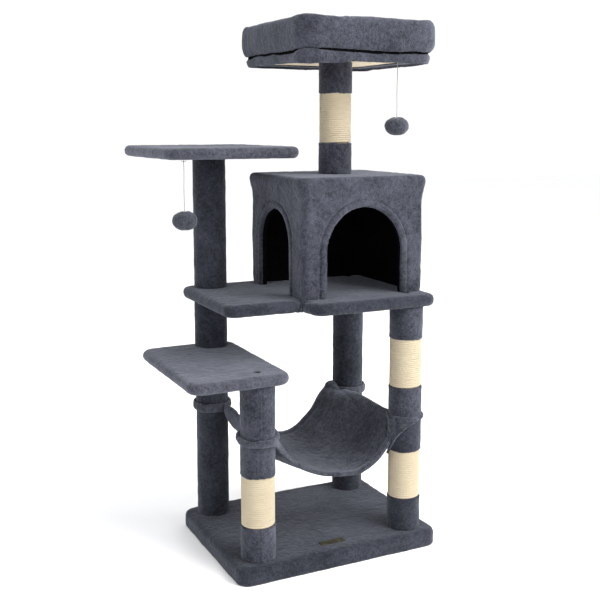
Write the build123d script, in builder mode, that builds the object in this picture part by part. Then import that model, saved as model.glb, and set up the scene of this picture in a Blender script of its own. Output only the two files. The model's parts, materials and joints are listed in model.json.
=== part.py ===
"""Cat tree: a plush-covered base and three platforms on stacked posts, with a condo,
a raised top bed, a hammock slung between the four lower posts and two hanging toys.

Millimetres, +Z up. The origin is the middle of the base's underside, X runs along the
front edge and Y points to the back.
"""
import os

from build123d import *

os.makedirs("parts", exist_ok=True)

# ---- driving dimensions ------------------------------------------------------------

# plush and boards
plush = 5.0                 # pile and backing of the fabric on the boards
board_edge = 7.0            # rounding on the edges of the bare boards
fit_gap = 0.1               # room between pieces that slide over each other

# base
base_size = (550.0, 416.0)
base_height = 44.0
base_corner = 30.0
base_edge = 15.0

# posts
tube_radius = 35.5
tube_bore = 32.0
sleeve_radius = 42.0
rope_radius = 40.5
rope_length = 127.0
plug_height = 12.0
thread_radius = 4.0
lower_post = 291.0
middle_post = 138.0
top_post = 335.0
bed_post_length = 279.0
rear_left = (-204.5, 153.5)
front_left = (-204.5, -150.0)
rear_right = (204.5, 153.5)
front_right = (206.0, -147.0)

# step platform, on the two left posts
platform_height = 28.0
step_x = (-386.0, -134.0)
step_y = (-203.0, 198.0)
platform_corner = 36.0
platform_edge = 13.0

# middle platform, L-shaped
middle_height = 31.0
middle_x = (-270.5, 266.5)
middle_back = 203.5
middle_front = -201.0
middle_recess = (-77.0, -131.5)
middle_corner = 30.0

# perch, centred on the rear left post
perch_size = (347.0, 392.0)

# condo
condo_x = (-85.5, 263.0)
condo_y = (-148.0, 182.0)
condo_height = 293.0
condo_corner = 28.0
roof_overhang = 8.0
panel = 12.0
roof_panel = 15.0
lining = 3.0
piping_width = 16.0
piping_proud = 4.0
front_door = {"middle": 88.0, "half_width": 107.0, "spring": 108.0, "rise": 112.0}
side_door = {"middle": 30.0, "half_width": 89.0, "spring": 120.0, "rise": 90.0}

# bed, centred on its post
bed_post_place = (87.7, 16.7)
bed_size = (388.0, 401.0)
bed_board_height = 15.0
bed_inset = 14.0
bolster_width = 76.0
bolster_height = 79.5
bolster_corner = 62.0
hem_drop = 7.0
hem_width = 30.0
hem_thickness = 3.0
pad_height = 20.0

# hammock
hammock_sheet = 7.0
hammock_y = 162.0
hammock_left = (-188.0, 352.0)
hammock_right = (188.0, 336.0)
hammock_bottom = (12.0, 212.0)
loop_thickness = 9.0
loop_height = 26.0
loop_places = {"rear_left": 350.0, "front_left": 354.0, "rear_right": 358.0, "front_right": 336.0}

# hanging toys
staple_wire = 0.6
staple_width = 11.0
staple_drop = 4.0
staple_leg = 8.0
knot_hole = 1.1
knot_cord = 0.85
cord_radius = 0.9
cord_gap = 3.2
cord_in_ball = 4.0
ball_radius = 30.0
ball_half_height = 24.0
ball_flat = ball_radius - ball_half_height
bed_toy_place = (195.5, -105.0)
bed_toy_cord_length = 132.0
perch_toy_place = (-328.5, -12.0)
perch_toy_cord_length = 116.0

# small metal parts
bolt_sink = 3.0             # how far a bolt on top of a platform is let into the board
bolt_head_radius = 9.0
bolt_head_height = 4.0
washer_radius = 11.0
washer_height = 1.6
plate_size = (66.0, 21.0)
plate_thickness = 1.2
plate_place = (-8.0, -158.0)

# ---- levels worked out from them ---------------------------------------------------

joint_level = base_height + lower_post
step_low = joint_level + middle_post
step_top = step_low + platform_height
middle_low = joint_level + lower_post
middle_top = middle_low + middle_height
perch_low = middle_top + top_post
perch_top = perch_low + platform_height
roof_top = middle_top + condo_height
bed_low = roof_top + bed_post_length
bed_board_top = bed_low + bed_board_height

corners = {"rear_left": rear_left, "front_left": front_left,
           "rear_right": rear_right, "front_right": front_right}

# every post: where it stands, its lower and upper end, and whether it carries rope
posts = {
    "rear_left_lower": (rear_left, base_height, joint_level, False),
    "rear_left_middle": (rear_left, joint_level, step_low, False),
    "rear_left_upper": (rear_left, step_top, middle_low, False),
    "rear_left_top": (rear_left, middle_top, perch_low, False),
    "front_left_lower": (front_left, base_height, joint_level, True),
    "front_left_upper": (front_left, joint_level, step_low, False),
    "rear_right_lower": (rear_right, base_height, joint_level, False),
    "rear_right_upper": (rear_right, joint_level, middle_low, False),
    "front_right_lower": (front_right, base_height, joint_level, True),
    "front_right_upper": (front_right, joint_level, middle_low, True),
    "bed_post": (bed_post_place, roof_top, bed_low, True),
}


def save(piece, name):
    """Label a finished piece and write it."""
    piece.part.label = name
    export_step(piece.part, f"parts/{name}.step")


def slab(size, centre, low, high, corner, edge):
    """A board or padded block with rounded corners in plan and rounded edges."""
    with BuildPart() as block:
        with BuildSketch(Plane.XY.offset(low)):
            with Locations(centre):
                RectangleRounded(*size, corner)
        extrude(amount=high - low)
        if edge:
            rims = block.edges().group_by(Axis.Z)
            fillet(rims[-1] + rims[0], edge)
    return block.part


def ring(places, low, high, outer, inner):
    """Upright rings of the same size, one at each place."""
    with BuildPart() as rings:
        with BuildSketch(Plane.XY.offset(low)):
            with Locations(*places):
                Circle(outer)
                Circle(inner, mode=Mode.SUBTRACT)
        extrude(amount=high - low)
    return rings.part


def rod(place, low, high, radius):
    """One upright round bar."""
    with BuildPart() as bar:
        with BuildSketch(Plane.XY.offset(low)):
            with Locations(place):
                Circle(radius)
        extrude(amount=high - low)
    return bar.part


def rope_span(low, high):
    """The stretch of a post that is wound with rope, in the middle of its length."""
    middle = (low + high) / 2
    return middle - rope_length / 2, middle + rope_length / 2


# ---- posts -------------------------------------------------------------------------

for post, (place, low, high, has_rope) in posts.items():
    rope_low, rope_high = rope_span(low, high)

    with BuildPart() as tube:
        add(ring([place], low, high, tube_radius, tube_bore))
    save(tube, f"{post}_tube")

    with BuildPart() as sleeve:
        add(ring([place], low, high, sleeve_radius, tube_radius + fit_gap))
        if has_rope:
            add(ring([place], rope_low, rope_high, sleeve_radius + 1, tube_radius),
                mode=Mode.SUBTRACT)
    save(sleeve, f"{post}_sleeve")

    if has_rope:
        with BuildPart() as rope:
            add(ring([place], rope_low, rope_high, rope_radius, tube_radius + fit_gap))
        save(rope, f"{post}_rope")

with BuildPart() as end_plugs:
    for place, low, high, has_rope in posts.values():
        for plug_low in (low, high - plug_height):
            add(ring([place], plug_low, plug_low + plug_height,
                     tube_bore - fit_gap, thread_radius + fit_gap))
save(end_plugs, "post_end_plugs")

# ---- threaded studs between stacked posts, some of them through a platform ----------

stud_spans = [(place, joint_level, joint_level) for place in corners.values()]
stud_spans += [(rear_left, step_low, step_top), (rear_left, middle_low, middle_top)]

with BuildPart() as studs:
    for place, low, high in stud_spans:
        add(rod(place, low - plug_height, high + plug_height, thread_radius))
save(studs, "joining_studs")


def bolt(place, face, reach, way):
    """A round-headed bolt with its washer: the head stands on the face, and the shank
    runs the other way (way is +1 when the head is above the face, -1 when below)."""
    with BuildPart() as screw:
        with BuildSketch(Plane.XY.offset(face)):
            with Locations(place):
                Circle(washer_radius)
        extrude(amount=way * washer_height)
        with BuildSketch(Plane.XY.offset(face + way * washer_height)):
            with Locations(place):
                Circle(bolt_head_radius)
        extrude(amount=way * bolt_head_height, taper=35)
        with BuildSketch(Plane.XY.offset(face)):
            with Locations(place):
                Circle(thread_radius)
        extrude(amount=-way * reach)
    return screw.part


def bolt_room(place, face, reach, way):
    """The hole and the shallow seat that a bolt needs."""
    with BuildPart() as room:
        with BuildSketch(Plane.XY.offset(face)):
            with Locations(place):
                Circle(washer_radius + 0.5)
        extrude(amount=way * 4 * bolt_head_height)
        with BuildSketch(Plane.XY.offset(face)):
            with Locations(place):
                Circle(thread_radius + fit_gap)
        extrude(amount=-way * (reach + 1))
    return room.part


def stud_room(place, low, high):
    """The clearance hole for a stud or a bolt shank through a board."""
    return rod(place, low - 1, high + 1, thread_radius + fit_gap)


# ---- base --------------------------------------------------------------------------

seat_depth = washer_height + bolt_head_height + 2
base_bolt_reach = base_height - seat_depth + plug_height

with BuildPart() as base_board:
    add(slab((base_size[0] - 2 * plush, base_size[1] - 2 * plush), (0, 0),
             0, base_height - plush, base_corner - plush, 0))
    fillet(base_board.edges().group_by(Axis.Z)[-1], base_edge - plush)
    for place in corners.values():
        add(bolt_room(place, seat_depth, base_bolt_reach, -1), mode=Mode.SUBTRACT)
save(base_board, "base_board")

with BuildPart() as base_bolts:
    for place in corners.values():
        add(bolt(place, seat_depth, base_bolt_reach, -1))
save(base_bolts, "base_bolts")

with BuildPart() as base_cover:
    add(slab(base_size, (0, 0), 0, base_height, base_corner, 0))
    fillet(base_cover.edges().group_by(Axis.Z)[-1], base_edge)
    add(slab((base_size[0] - 2 * plush, base_size[1] - 2 * plush), (0, 0),
             0, base_height - plush, base_corner - plush, 0), mode=Mode.SUBTRACT)
    for place in corners.values():
        add(stud_room(place, base_height - plush, base_height), mode=Mode.SUBTRACT)
save(base_cover, "base_cover")

with BuildPart() as name_plate:
    with BuildSketch(Plane.XY.offset(base_height)):
        with Locations(plate_place):
            RectangleRounded(*plate_size, 3)
    extrude(amount=plate_thickness)
    fillet(name_plate.edges().group_by(Axis.Z)[-1], 0.4)
save(name_plate, "name_plate")

# ---- step platform -----------------------------------------------------------------

step_size = (step_x[1] - step_x[0], step_y[1] - step_y[0])
step_centre = ((step_x[0] + step_x[1]) / 2, (step_y[0] + step_y[1]) / 2)
platform_seat = plush + bolt_sink
platform_reach = platform_height - platform_seat + plug_height


def bare(size):
    """The size of the board inside a padded platform."""
    return (size[0] - 2 * plush, size[1] - 2 * plush)


with BuildPart() as step_board:
    add(slab(bare(step_size), step_centre, step_low + plush, step_top - plush,
             platform_corner - plush, board_edge))
    add(stud_room(rear_left, step_low, step_top), mode=Mode.SUBTRACT)
    add(bolt_room(front_left, step_top - platform_seat, platform_reach, 1), mode=Mode.SUBTRACT)
save(step_board, "step_board")

with BuildPart() as step_cover:
    add(slab(step_size, step_centre, step_low, step_top, platform_corner, platform_edge))
    add(slab(bare(step_size), step_centre, step_low + plush, step_top - plush,
             platform_corner - plush, board_edge), mode=Mode.SUBTRACT)
    add(stud_room(rear_left, step_low, step_top), mode=Mode.SUBTRACT)
    add(bolt_room(front_left, step_top - platform_seat, platform_reach, 1), mode=Mode.SUBTRACT)
save(step_cover, "step_cover")

# ---- middle platform ---------------------------------------------------------------


def middle_slab(inset, low, high, edge):
    """The L-shaped platform, drawn in by an inset all round."""
    left = middle_x[0] + inset
    right = middle_x[1] - inset
    back = middle_back - inset
    front = middle_front + inset
    notch = (middle_recess[0] + inset, middle_recess[1] + inset)
    with BuildPart() as block:
        with BuildSketch(Plane.XY.offset(low)) as outline:
            with BuildLine():
                Polyline((left, back), (left, notch[1]), notch, (notch[0], front),
                         (right, front), (right, back), close=True)
            make_face()
            inner = outline.vertices().filter_by(
                lambda v: abs(v.X - notch[0]) < 1 and abs(v.Y - notch[1]) < 1)
            outer = outline.vertices().filter_by(
                lambda v: abs(v.X - notch[0]) > 1 or abs(v.Y - notch[1]) > 1)
            fillet(outer, middle_corner - inset)
            fillet(outline.vertices().sort_by_distance(inner[0])[0], 14 + inset)
        extrude(amount=high - low)
        rims = block.edges().group_by(Axis.Z)
        fillet(rims[-1] + rims[0], edge)
    return block.part


middle_board_top = middle_top - plush
seat_face = middle_board_top - washer_height - bolt_head_height
middle_reach = seat_face - middle_low + plug_height

with BuildPart() as middle_board:
    add(middle_slab(plush, middle_low + plush, middle_board_top, board_edge))
    add(stud_room(rear_left, middle_low, middle_top), mode=Mode.SUBTRACT)
    for place in (rear_right, front_right):
        add(bolt_room(place, seat_face, middle_reach, 1), mode=Mode.SUBTRACT)
save(middle_board, "middle_board")

with BuildPart() as middle_cover:
    add(middle_slab(0, middle_low, middle_top, platform_edge))
    add(middle_slab(plush, middle_low + plush, middle_board_top, board_edge),
        mode=Mode.SUBTRACT)
    add(stud_room(rear_left, middle_low, middle_top), mode=Mode.SUBTRACT)
    for place in (rear_right, front_right):
        add(stud_room(place, middle_low, middle_low + plush), mode=Mode.SUBTRACT)
save(middle_cover, "middle_cover")

# ---- perch -------------------------------------------------------------------------

with BuildPart() as perch_board:
    add(slab(bare(perch_size), rear_left, perch_low + plush, perch_top - plush,
             platform_corner - plush, board_edge))
    add(bolt_room(rear_left, perch_top - platform_seat, platform_reach, 1), mode=Mode.SUBTRACT)
save(perch_board, "perch_board")

with BuildPart() as perch_cover:
    add(slab(perch_size, rear_left, perch_low, perch_top, platform_corner, platform_edge))
    add(slab(bare(perch_size), rear_left, perch_low + plush, perch_top - plush,
             platform_corner - plush, board_edge), mode=Mode.SUBTRACT)
    add(bolt_room(rear_left, perch_top - platform_seat, platform_reach, 1), mode=Mode.SUBTRACT)
save(perch_cover, "perch_cover")

# ---- condo -------------------------------------------------------------------------

condo_low = middle_top
roof_board_low = roof_top - plush - roof_panel
wall_x = (condo_x[0] + roof_overhang, condo_x[1] - roof_overhang)
wall_y = (condo_y[0] + roof_overhang, condo_y[1] - roof_overhang)
panel_x = (wall_x[0] + plush, wall_x[1] - plush)
panel_y = (wall_y[0] + plush, wall_y[1] - plush)
cabin_x = (panel_x[0] + panel, panel_x[1] - panel)
cabin_y = (panel_y[0] + panel, panel_y[1] - panel)


def block(x_span, y_span, z_span):
    """A plain box between three pairs of limits."""
    with BuildPart() as box:
        with BuildSketch(Plane.XY.offset(z_span[0])):
            with Locations((sum(x_span) / 2, sum(y_span) / 2)):
                Rectangle(x_span[1] - x_span[0], y_span[1] - y_span[0])
        extrude(amount=z_span[1] - z_span[0])
    return box.part


def doorway(door, plane, grow, near, far):
    """An arched doorway as a solid: straight jambs and an elliptical head. It grows by
    the given amount all round and runs between two distances along the plane's normal."""
    half = door["half_width"] + grow
    spring = condo_low + door["spring"]
    head = spring + door["rise"] + grow
    left = door["middle"] - half
    right = door["middle"] + half
    with BuildPart() as opening:
        with BuildSketch(plane.offset(near)):
            with BuildLine():
                Line((left, spring), (left, condo_low))
                Line((left, condo_low), (right, condo_low))
                Line((right, condo_low), (right, spring))
                EllipticalCenterArc((door["middle"], spring), half, head - spring,
                                    start_angle=0, arc_size=180)
            make_face()
        extrude(amount=far - near)
    return opening.part


# planes whose first axis is X or Y and whose second axis is Z
front_plane = Plane(origin=(0, 0, 0), x_dir=(1, 0, 0), z_dir=(0, -1, 0))
side_plane = Plane(origin=(0, 0, 0), x_dir=(0, 1, 0), z_dir=(1, 0, 0))

with BuildPart() as front_wall:
    add(block(panel_x, (panel_y[0], cabin_y[0]), (condo_low, roof_board_low)))
    add(doorway(front_door, front_plane, 2, -cabin_y[0] - 1, -panel_y[0] + 1),
        mode=Mode.SUBTRACT)
    fillet(front_wall.edges().filter_by(Axis.Z).group_by(Axis.Y)[0]
           .sort_by(Axis.X)[0], panel - 1)
    fillet(front_wall.edges().filter_by(Axis.Z).group_by(Axis.Y)[0]
           .sort_by(Axis.X)[-1], panel - 1)
save(front_wall, "condo_front_wall")

with BuildPart() as back_wall:
    add(block(panel_x, (cabin_y[1], panel_y[1]), (condo_low, roof_board_low)))
    outer_edges = back_wall.edges().filter_by(Axis.Z).group_by(Axis.Y)[-1]
    fillet(outer_edges, panel - 1)
save(back_wall, "condo_back_wall")

with BuildPart() as left_wall:
    add(block((panel_x[0], cabin_x[0]), cabin_y, (condo_low, roof_board_low)))
    add(doorway(side_door, side_plane, 2, panel_x[0] - 1, cabin_x[0] + 1),
        mode=Mode.SUBTRACT)
save(left_wall, "condo_left_wall")

with BuildPart() as right_wall:
    add(block((cabin_x[1], panel_x[1]), cabin_y, (condo_low, roof_board_low)))
save(right_wall, "condo_right_wall")

condo_centre = (sum(condo_x) / 2, sum(condo_y) / 2)
condo_size = (condo_x[1] - condo_x[0], condo_y[1] - condo_y[0])
wall_size = (wall_x[1] - wall_x[0], wall_y[1] - wall_y[0])
panel_size = (panel_x[1] - panel_x[0], panel_y[1] - panel_y[0])
cabin_size = (cabin_x[1] - cabin_x[0], cabin_y[1] - cabin_y[0])
roof_reach = roof_panel + plush + plug_height

with BuildPart() as roof_board:
    add(slab(bare(condo_size), condo_centre, roof_board_low, roof_top - plush,
             condo_corner - plush, board_edge - 1))
    add(stud_room(bed_post_place, roof_board_low, roof_top), mode=Mode.SUBTRACT)
save(roof_board, "condo_roof_board")

cover_fold = 14.0

with BuildPart() as condo_cover:
    add(slab(wall_size, condo_centre, condo_low, roof_top - cover_fold,
             condo_corner - roof_overhang, 0))
    add(slab(condo_size, condo_centre, roof_board_low - plush, roof_top, condo_corner, 11))
    add(slab(panel_size, condo_centre, condo_low, roof_board_low, panel - 1, 0),
        mode=Mode.SUBTRACT)
    add(slab(bare(condo_size), condo_centre, roof_board_low, roof_top - plush,
             condo_corner - plush, board_edge - 1), mode=Mode.SUBTRACT)
    add(stud_room(bed_post_place, roof_board_low, roof_top), mode=Mode.SUBTRACT)
    add(doorway(front_door, front_plane, piping_width, -panel_y[0] - 1, -wall_y[0] + 9),
        mode=Mode.SUBTRACT)
    add(doorway(side_door, side_plane, piping_width, wall_x[0] - 9, panel_x[0] + 1),
        mode=Mode.SUBTRACT)
save(condo_cover, "condo_cover")

with BuildPart() as condo_lining:
    add(slab(cabin_size, condo_centre, condo_low, roof_board_low, 6, 0))
    add(slab((cabin_size[0] - 2 * lining, cabin_size[1] - 2 * lining), condo_centre,
             condo_low, roof_board_low - lining, 4, 0), mode=Mode.SUBTRACT)
    add(doorway(front_door, front_plane, 2, -cabin_y[0] - lining - 5, -cabin_y[0] + 1),
        mode=Mode.SUBTRACT)
    add(doorway(side_door, side_plane, 2, cabin_x[0] - 1, cabin_x[0] + lining + 5),
        mode=Mode.SUBTRACT)
    add(rod(bed_post_place, roof_board_low - lining - 1, roof_board_low + 1,
            washer_radius + 0.5), mode=Mode.SUBTRACT)
save(condo_lining, "condo_lining")

with BuildPart() as door_pipings:
    add(doorway(front_door, front_plane, piping_width, -panel_y[0], -wall_y[0] + piping_proud))
    add(doorway(front_door, front_plane, 0, -panel_y[0] - 1, -wall_y[0] + piping_proud + 1),
        mode=Mode.SUBTRACT)
    add(doorway(side_door, side_plane, piping_width, wall_x[0] - piping_proud, panel_x[0]))
    add(doorway(side_door, side_plane, 0, wall_x[0] - piping_proud - 1, panel_x[0] + 1),
        mode=Mode.SUBTRACT)
save(door_pipings, "door_pipings")

# ---- bed ---------------------------------------------------------------------------

skirt_size = (bed_size[0] - 2 * bed_inset, bed_size[1] - 2 * bed_inset)
bed_board_size = bare(skirt_size)
hollow_size = (bed_size[0] - 2 * bolster_width, bed_size[1] - 2 * bolster_width)
skirt_corner = bolster_corner - bed_inset
bed_reach = bed_board_height + plug_height - washer_height - bolt_head_height
bed_seat = bed_board_top - washer_height - bolt_head_height

with BuildPart() as bed_board:
    add(slab(bed_board_size, bed_post_place, bed_low, bed_board_top, skirt_corner - plush, 0))
    add(bolt_room(bed_post_place, bed_seat, bed_reach, 1), mode=Mode.SUBTRACT)
save(bed_board, "bed_board")

with BuildPart() as bed_skirt:
    add(slab(skirt_size, bed_post_place, bed_low - hem_drop, bed_board_top, skirt_corner, 0))
    fillet(bed_skirt.edges().group_by(Axis.Z)[0], 2)
    add(slab(bed_board_size, bed_post_place, bed_low, bed_board_top + 1,
             skirt_corner - plush, 0), mode=Mode.SUBTRACT)
    add(slab(bed_board_size, bed_post_place, bed_low - hem_drop - 1, bed_low - hem_thickness,
             skirt_corner - plush, 0), mode=Mode.SUBTRACT)
    add(slab((bed_board_size[0] - 2 * hem_width, bed_board_size[1] - 2 * hem_width),
             bed_post_place, bed_low - hem_drop, bed_low + 1, skirt_corner - plush, 0),
        mode=Mode.SUBTRACT)
save(bed_skirt, "bed_skirt")

with BuildPart() as bed_bolster:
    add(slab(bed_size, bed_post_place, bed_board_top, bed_board_top + bolster_height,
             bolster_corner, 26))
    with BuildSketch(Plane.XY.offset(bed_board_top)):
        with Locations(bed_post_place):
            RectangleRounded(*hollow_size, 34)
    extrude(amount=bolster_height, mode=Mode.SUBTRACT)
    fillet(bed_bolster.edges().group_by(Axis.Z)[-1], 24)
save(bed_bolster, "bed_bolster")

with BuildPart() as bed_pad:
    add(slab((hollow_size[0] - 1, hollow_size[1] - 1), bed_post_place, bed_board_top,
             bed_board_top + pad_height, 33, 8))
save(bed_pad, "bed_pad")

# ---- bolts through the platforms ---------------------------------------------------

with BuildPart() as platform_bolts:
    add(bolt(front_left, step_top - platform_seat, platform_reach, 1))
    add(bolt(rear_left, perch_top - platform_seat, platform_reach, 1))
    for place in (rear_right, front_right):
        add(bolt(place, seat_face, middle_reach, 1))
    add(bolt(bed_post_place, roof_board_low, roof_reach, -1))
    add(bolt(bed_post_place, bed_seat, bed_reach, 1))
save(platform_bolts, "platform_bolts")

# ---- hammock -----------------------------------------------------------------------

hammock_plane = Plane(origin=(0, hammock_y, 0), x_dir=(1, 0, 0), z_dir=(0, -1, 0))

with BuildPart() as hammock_sling:
    with BuildSketch(hammock_plane):
        with BuildLine():
            low_arc = ThreePointArc(hammock_left, hammock_bottom, hammock_right)
            high_arc = ThreePointArc(
                (hammock_left[0] + hammock_sheet, hammock_left[1]),
                (hammock_bottom[0], hammock_bottom[1] + hammock_sheet),
                (hammock_right[0] - hammock_sheet, hammock_right[1]))
            Line(low_arc @ 0, high_arc @ 0)
            Line(low_arc @ 1, high_arc @ 1)
        make_face()
    extrude(amount=2 * hammock_y)
    for place in corners.values():
        add(rod(place, 0, middle_low, sleeve_radius + loop_thickness), mode=Mode.SUBTRACT)
save(hammock_sling, "hammock_sling")

with BuildPart() as hammock_loops:
    for name, level in loop_places.items():
        add(ring([corners[name]], level - loop_height / 2, level + loop_height / 2,
                 sleeve_radius + loop_thickness - fit_gap, sleeve_radius + fit_gap))
    fillet(hammock_loops.edges().filter_by(GeomType.CIRCLE)
           .filter_by(lambda e: e.radius > sleeve_radius + 1), 4)
save(hammock_loops, "hammock_loops")

# ---- hanging toys ------------------------------------------------------------------

bed_toy_pivot = (*bed_toy_place, bed_low - staple_drop)
perch_toy_pivot = (*perch_toy_place, perch_low - staple_drop)


def staple(pivot):
    """A wire staple whose crown runs along X through the pivot; its legs are in the board."""
    x, y, z = pivot
    half = staple_width / 2
    top = z + staple_drop + staple_leg
    with BuildPart() as wire:
        with BuildLine() as route:
            Polyline((x - half, y, top), (x - half, y, z), (x + half, y, z), (x + half, y, top))
        with BuildSketch(Plane(origin=route.line @ 0, z_dir=route.line % 0)):
            Circle(staple_wire)
        sweep(transition=Transition.RIGHT)
    return wire.part


def staple_holes(pivot):
    """The two holes that the staple's legs are driven into."""
    x, y, z = pivot
    half = staple_width / 2
    with BuildPart() as holes:
        with BuildSketch(Plane.XY.offset(z + 1)):
            with Locations((x - half, y), (x + half, y)):
                Circle(staple_wire + 0.05)
        extrude(amount=staple_drop + staple_leg)
    return holes.part


with BuildPart() as toy_staples:
    add(staple(bed_toy_pivot))
    add(staple(perch_toy_pivot))
save(toy_staples, "toy_staples")

with BuildPart() as bed_board_drilled:
    add(bed_board.part)
    add(staple_holes(bed_toy_pivot), mode=Mode.SUBTRACT)
save(bed_board_drilled, "bed_board")

with BuildPart() as perch_cover_drilled:
    add(perch_cover.part)
    add(staple_holes(perch_toy_pivot), mode=Mode.SUBTRACT)
save(perch_cover_drilled, "perch_cover")

with BuildPart() as perch_board_drilled:
    add(perch_board.part)
    add(staple_holes(perch_toy_pivot), mode=Mode.SUBTRACT)
save(perch_board_drilled, "perch_board")

for toy, pivot, length in (("bed_toy", bed_toy_pivot, bed_toy_cord_length),
                           ("perch_toy", perch_toy_pivot, perch_toy_cord_length)):
    x, y, z = pivot
    cord_top = z - cord_gap
    cord_end = cord_top - length
    ball_middle = cord_end + cord_in_ball - ball_half_height

    # the knot is a small ring of cord round the staple's crown
    with BuildPart() as knot:
        with BuildSketch(Plane(origin=pivot)):
            with Locations((0, knot_hole + knot_cord)):
                Circle(knot_cord)
        revolve(axis=Axis(pivot, (1, 0, 0)), revolution_arc=360)
    save(knot, f"{toy}_knot")

    with BuildPart() as cord:
        with BuildSketch(Plane.XY.offset(cord_end)):
            with Locations((x, y)):
                Circle(cord_radius)
        extrude(amount=length)
    save(cord, f"{toy}_cord")

    with BuildPart() as ball:
        with BuildSketch(Plane(origin=(x, y, ball_middle), x_dir=(1, 0, 0), z_dir=(0, -1, 0))):
            with BuildLine():
                ThreePointArc((ball_flat, -ball_half_height), (ball_radius, 0),
                              (ball_flat, ball_half_height))
                Polyline((ball_flat, ball_half_height), (0, ball_half_height),
                         (0, -ball_half_height), (ball_flat, -ball_half_height))
            make_face()
        revolve(axis=Axis((x, y, ball_middle), (0, 0, 1)), revolution_arc=360)
    save(ball, f"{toy}_ball")
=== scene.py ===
"""Cat tree: plush, sisal rope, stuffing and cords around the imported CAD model.

Metres, in the CAD model's frame: +X right, +Y back, +Z up, the floor at zero. Every piece
takes its place from the box of the CAD node that it stands for.
"""
import json
import math

import bpy
import bmesh
import numpy as np
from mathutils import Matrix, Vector


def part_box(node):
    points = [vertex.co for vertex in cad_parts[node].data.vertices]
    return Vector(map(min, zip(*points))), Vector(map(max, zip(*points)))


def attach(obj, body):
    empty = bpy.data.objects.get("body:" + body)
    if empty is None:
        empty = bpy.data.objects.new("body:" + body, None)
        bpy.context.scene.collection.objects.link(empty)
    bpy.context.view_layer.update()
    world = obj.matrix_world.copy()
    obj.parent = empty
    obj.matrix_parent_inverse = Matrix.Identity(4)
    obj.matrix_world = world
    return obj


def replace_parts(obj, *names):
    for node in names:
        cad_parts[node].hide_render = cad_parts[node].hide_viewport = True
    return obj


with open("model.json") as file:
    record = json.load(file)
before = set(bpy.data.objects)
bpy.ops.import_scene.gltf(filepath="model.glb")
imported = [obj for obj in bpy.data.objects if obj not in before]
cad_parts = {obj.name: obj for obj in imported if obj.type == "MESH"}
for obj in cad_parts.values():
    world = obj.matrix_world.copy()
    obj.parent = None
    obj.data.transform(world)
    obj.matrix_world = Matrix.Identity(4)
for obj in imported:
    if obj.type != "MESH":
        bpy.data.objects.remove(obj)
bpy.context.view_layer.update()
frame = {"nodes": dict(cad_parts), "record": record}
mm = 0.001
nodes = frame["nodes"]

# ---- sizes that the looks add to the CAD model ---------------------------------------

board_voxel = 3.0 * mm
condo_voxel = 3.5 * mm
pad_voxel = 5 * mm
hammock_voxel = 2.6 * mm
nap_depth = 0.55 * mm
rope_pitch = 5.1 * mm
rope_thickness = 5.2 * mm
bed_spacing = 4.6 * mm
lining = 3 * mm
overhang = 8 * mm
roll_reach = 7.5 * mm
roll_centre = 7.0 * mm

front_door = {"middle": 88 * mm, "half": 107 * mm, "spring": 108 * mm, "rise": 112 * mm}
side_door = {"middle": 30 * mm, "half": 89 * mm, "spring": 120 * mm, "rise": 90 * mm}
# each door, the axis along its wall and the axis through it
doors = (("front_door_roll", front_door, 0, 1), ("side_door_roll", side_door, 1, 0))

# places in mm along X, and the height of the hammock's front and back edge there
hammock_front = [(-196, 352), (-188, 342), (-164, 315), (-138, 289), (-103, 260), (-81, 245),
                 (-50, 229), (-24, 220), (24, 212), (72, 210), (118, 230), (147, 255),
                 (165, 277), (182, 314), (196, 348)]
hammock_back = [(-196, 366), (-188, 354), (-164, 326), (-124, 296), (-79, 262), (-40, 240),
                (0, 231), (30, 236), (52, 249), (95, 288), (115, 324), (137, 345), (150, 352),
                (164, 349), (180, 342), (196, 340)]
# the level, half height and half depth of the loop on each post
loop_sizes = {"rear_left": (343 * mm, 11 * mm, 4.8 * mm),
              "front_left": (344 * mm, 8 * mm, 5.4 * mm),
              "rear_right": (338 * mm, 11 * mm, 4.6 * mm),
              "front_right": (340 * mm, 6 * mm, 3.2 * mm)}


# ---- objects, camera, light and floor ------------------------------------------------

def add_object(name, data):
    made = bpy.data.objects.new(name, data)
    bpy.context.scene.collection.objects.link(made)
    return made


def mesh_of(name, verts, faces):
    mesh = bpy.data.meshes.new(name)
    mesh.from_pydata([tuple(v) for v in verts], [], [tuple(f) for f in faces])
    return mesh


def make_camera():
    """The camera stands to the left of the front and looks slightly down."""
    data = bpy.data.cameras.new("camera")
    data.lens = 56.26
    data.sensor_width = 36.0
    data.shift_y = -0.0583
    data.dof.use_dof = False
    camera = add_object("camera", data)
    camera.location = (-1.0488, -2.1137, 1.0697)
    turn_right, look_down = 0.453, 0.147
    camera.rotation_euler = (math.pi / 2 - look_down, 0, -turn_right)
    bpy.context.scene.camera = camera


def area_light(name, place, aim, size, power, colour):
    data = bpy.data.lights.new(name, "AREA")
    data.shape = "SQUARE"
    data.size = size
    data.energy = power
    data.color = colour
    light = add_object(name, data)
    light.location = place
    light.rotation_euler = (Vector(aim) - Vector(place)).to_track_quat("-Z", "Y").to_euler()


def make_studio():
    """A white room with a large key light from the right, and a pale floor."""
    world = bpy.data.worlds.new("studio")
    world.use_nodes = True
    background = world.node_tree.nodes["Background"]
    background.inputs["Color"].default_value = (1.0, 1.0, 1.0, 1)
    background.inputs["Strength"].default_value = 1.03
    bpy.context.scene.world = world
    bpy.context.scene.view_settings.view_transform = "Standard"
    area_light("key", (2.2, -2.6, 3.2), (0, 0, 0.7), 3.4, 370, (1.0, 0.99, 0.97))
    area_light("fill", (-3.2, -1.6, 2.2), (0, 0, 0.6), 2.4, 35, (0.97, 0.98, 1.0))
    reach = 14.0
    corners = [(-reach, -reach, 0), (reach, -reach, 0), (reach, reach, 0), (-reach, reach, 0)]
    floor = add_object("floor", mesh_of("floor", corners, [(0, 1, 2, 3)]))
    paint = Paint("floor_paint", Base_Color=(0.95, 0.955, 0.96, 1), Roughness=0.9)
    floor.data.materials.append(paint.material)


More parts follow.
